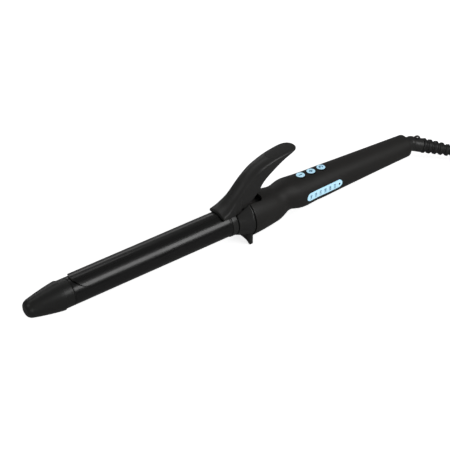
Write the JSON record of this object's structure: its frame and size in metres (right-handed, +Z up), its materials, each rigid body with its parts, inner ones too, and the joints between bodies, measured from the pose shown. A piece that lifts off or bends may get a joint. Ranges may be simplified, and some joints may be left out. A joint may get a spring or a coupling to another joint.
{
  "type": "curling iron",
  "caption": "Spring-clamp curling iron: hot barrel, curved clamp blade with a thumb lever, cool tip, rest foot, tapered handle with keys and display, and a swivel cord.",
  "frame": {"origin": "on the barrel axis, at the middle of the flat front end of the cool tip", "axes": "+X along the barrel axis from the cool tip to the cord; +Z up, towards the thumb lever and the keys; the display window faces -Y"},
  "size_m": [0.5197, 0.0912, 0.0795],
  "materials": {
    "barrel_coating": "gloss black ceramic coating",
    "blade_coating": "gloss black ceramic coating",
    "cool_plastic": "satin black heat resistant plastic",
    "lever_plastic": "fine matte black plastic",
    "guard_plastic": "fine matte black plastic",
    "soft_touch": "soft touch black coating",
    "pad_rubber": "fine matte rubber",
    "key_plastic": null,
    "window_plastic": "light blue display window",
    "cord_rubber": "matte black cord cover",
    "inner_plastic": "moulded heat resistant plastic",
    "steel": "plain",
    "aluminium": "extruded",
    "brass": "plain",
    "ceramic": "unglazed",
    "board": "green lacquered laminate",
    "capacitor_yellow": "moulded case",
    "wire_red": "silicone sleeve",
    "wire_blue": "silicone sleeve",
    "wire_white": "glass fibre sleeve"
  },
  "bodies": {
    "wand": {"barrel": "barrel_coating", "cool_tip": "cool_plastic", "barrel_collar": "guard_plastic", "guard_stand": "guard_plastic", "handle_upper": "soft_touch", "handle_lower": "soft_touch", "display_window": "window_plastic", "barrel_holder": "inner_plastic", "heat_spreader_upper": "aluminium", "heat_spreader_lower": "aluminium", "ptc_heater": "ceramic", "electrode_upper": "brass", "electrode_lower": "brass", "thermistor": "ceramic", "thermal_fuse": "steel", "lead_live": "wire_red", "lead_neutral": "wire_blue", "sensor_lead": "wire_white", "tip_bracket": "steel", "tip_screw": "steel", "pivot_bracket": "steel", "pivot_pin": "steel", "clamp_spring": "steel", "control_board": "board", "display_board": "board", "switch_down": "inner_plastic", "switch_up": "inner_plastic", "switch_power": "inner_plastic", "microcontroller": "inner_plastic", "triac": "inner_plastic", "film_capacitor": "capacitor_yellow", "electrolytic_capacitor": "aluminium", "board_screw_front": "steel", "board_screw_rear": "steel", "handle_screw_front": "steel", "handle_screw_rear": "steel", "swivel_bushing": "brass", "brush_live": "brass", "brush_neutral": "brass"},
    "clamp": {"clamp_blade": "blade_coating", "clamp_lever": "lever_plastic", "clamp_screw": "steel", "thumb_pad": "pad_rubber"},
    "down_button": {"button_down": "key_plastic"},
    "up_button": {"button_up": "key_plastic"},
    "power_button": {"button_power": "key_plastic"},
    "swivel": {"swivel_head": "lever_plastic", "retaining_clip": "steel", "slip_ring_live": "brass", "slip_ring_neutral": "brass", "strain_relief": "cord_rubber", "power_cord": "cord_rubber"}
  },
  "joints": [
    {"name": "clamp_pivot", "type": "hinge", "parent": "wand", "child": "clamp", "pos_m": [0.224, 0, 0.014], "axis": [0, 1, 0], "range_deg": [0, 22], "stiffness_Nm_per_rad": 0.4},
    {"name": "down_press", "type": "slide", "parent": "wand", "child": "down_button", "axis": [0, 0, -1], "range_m": [0, 0.0006], "stiffness_N_per_m": 60},
    {"name": "up_press", "type": "slide", "parent": "wand", "child": "up_button", "axis": [0, 0, -1], "range_m": [0, 0.0006], "stiffness_N_per_m": 60},
    {"name": "power_press", "type": "slide", "parent": "wand", "child": "power_button", "axis": [0, 0, -1], "range_m": [0, 0.0006], "stiffness_N_per_m": 60},
    {"name": "cord_swivel", "type": "hinge", "parent": "wand", "child": "swivel", "pos_m": [0.42, 0, -0.0011], "axis": [1, 0, 0], "continuous": true}
  ]
}
